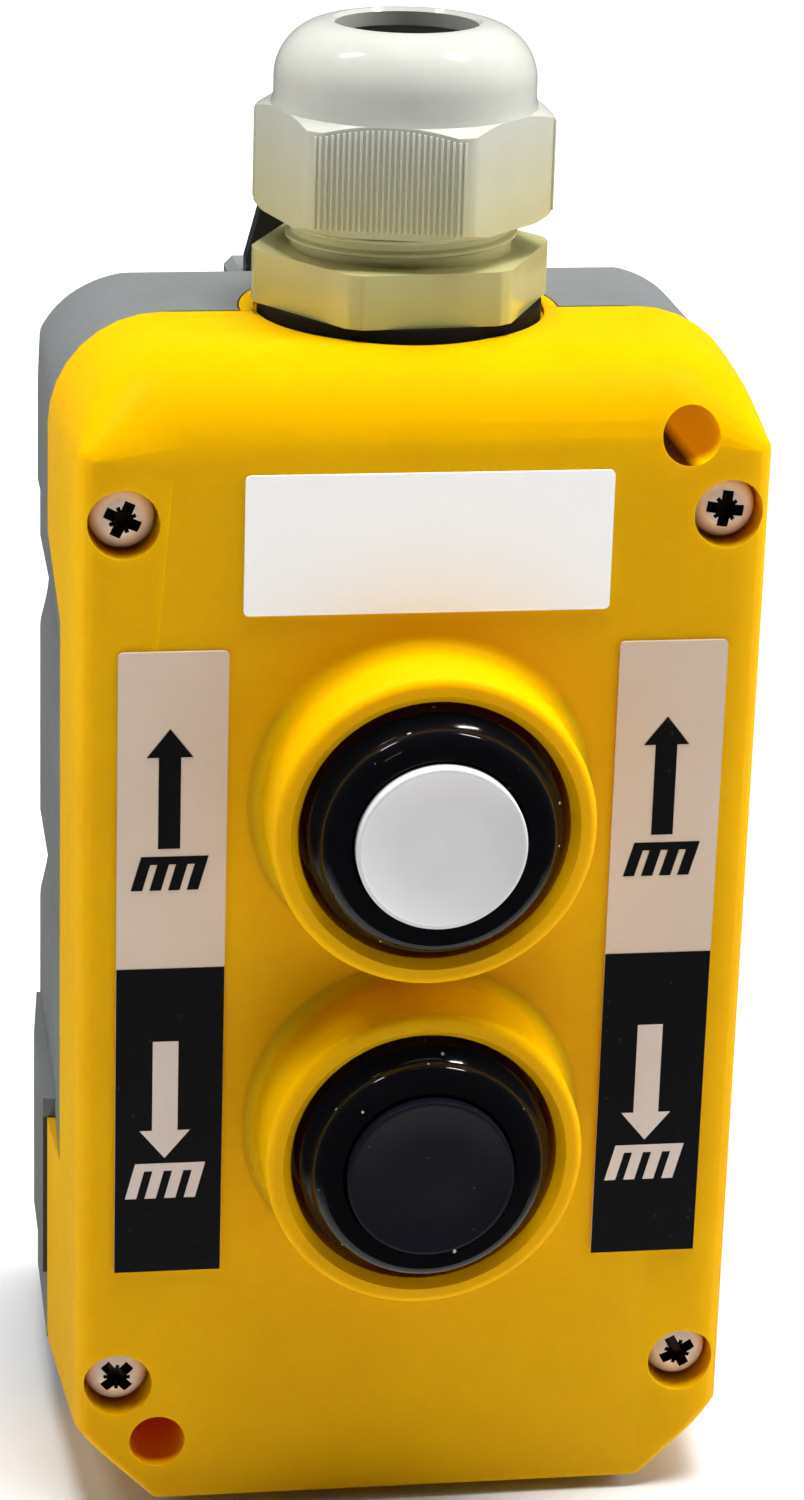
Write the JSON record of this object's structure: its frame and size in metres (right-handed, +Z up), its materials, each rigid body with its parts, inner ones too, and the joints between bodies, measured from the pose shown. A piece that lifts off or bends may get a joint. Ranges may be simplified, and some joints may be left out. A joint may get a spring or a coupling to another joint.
{
  "type": "pendant push-button station",
  "caption": "Hand-held hoist pendant: ribbed-grip housing with collared spring push buttons, cable gland, suspension plate and blank labels.",
  "frame": {"origin": "centre of the bounding box in X and Y, at the flat bottom of the housing", "axes": "+Z up the housing towards the gland, -Y out of the front with the buttons, +X to the right seen from the front"},
  "size_m": [0.0824, 0.0772, 0.1749],
  "materials": {
    "yellow_cover": "moulded yellow plastic with a fine satin surface",
    "grey_shell": "moulded blue-grey plastic, satin",
    "black_rubber": "soft black rubber",
    "yellow_zinc": "steel with a yellow passivated zinc coat",
    "black_plate": "sheet steel with black powder coat",
    "steel": "bright zinc plated steel",
    "pale_nylon": "pale grey nylon, slightly glossy",
    "grey_nylon": "grey nylon",
    "label_white": "printed plastic label",
    "black_gloss": "glossy black plastic",
    "disc_white": "light grey-white plastic",
    "disc_black": "matt blue-black plastic",
    "block_grey": "dark thermoset plastic",
    "carrier_white": "natural white plastic",
    "contact_metal": "copper alloy strip"
  },
  "bodies": {
    "housing": {"front_cover": "yellow_cover", "rear_shell": "grey_shell", "cover_seal": "black_rubber", "cover_screws": "yellow_zinc", "suspension_plate": "black_plate", "plate_screws": "steel", "gland_body": "pale_nylon", "gland_nut": "pale_nylon", "gland_insert": "grey_nylon", "gland_seal": "black_rubber", "gland_washer": "black_rubber", "gland_locknut": "pale_nylon", "blank_label": "label_white", "label_left": "label_white", "label_right": "label_white", "bezel_upper": "black_gloss", "bezel_lower": "black_gloss", "bezel_gaskets": "black_rubber", "ring_nuts": "steel", "contact_block_upper": "block_grey", "contact_block_lower": "block_grey", "fixed_contacts_upper": "contact_metal", "fixed_contacts_lower": "contact_metal", "terminal_screws": "steel", "return_spring_upper": "steel", "return_spring_lower": "steel", "contact_spring_upper": "steel", "contact_spring_lower": "steel"},
    "button_upper": {"plunger_upper": "grey_nylon", "disc_upper": "disc_white"},
    "button_lower": {"plunger_lower": "grey_nylon", "disc_lower": "disc_black"},
    "contact_upper": {"carrier_upper": "carrier_white", "bridge_upper": "contact_metal"},
    "contact_lower": {"carrier_lower": "carrier_white", "bridge_lower": "contact_metal"}
  },
  "joints": [
    {"name": "press_upper", "type": "slide", "parent": "housing", "child": "button_upper", "axis": [0, 1, 0], "range_m": [0, 0.0045], "stiffness_N_per_m": 400, "springref_m": -0.008, "deforming": ["return_spring_upper"]},
    {"name": "contact_upper_slide", "type": "slide", "parent": "housing", "child": "contact_upper", "axis": [0, 1, 0], "range_m": [0, 0.0045], "stiffness_N_per_m": 200, "springref_m": -0.006, "deforming": ["contact_spring_upper"]},
    {"name": "press_lower", "type": "slide", "parent": "housing", "child": "button_lower", "axis": [0, 1, 0], "range_m": [0, 0.0045], "stiffness_N_per_m": 400, "springref_m": -0.008, "deforming": ["return_spring_lower"]},
    {"name": "contact_lower_slide", "type": "slide", "parent": "housing", "child": "contact_lower", "axis": [0, 1, 0], "range_m": [0, 0.0045], "stiffness_N_per_m": 200, "springref_m": -0.006, "deforming": ["contact_spring_lower"]}
  ],
  "couplings": [
    {"joint": "contact_upper_slide", "follows": "press_upper", "ratio": 1},
    {"joint": "contact_lower_slide", "follows": "press_lower", "ratio": 1}
  ]
}
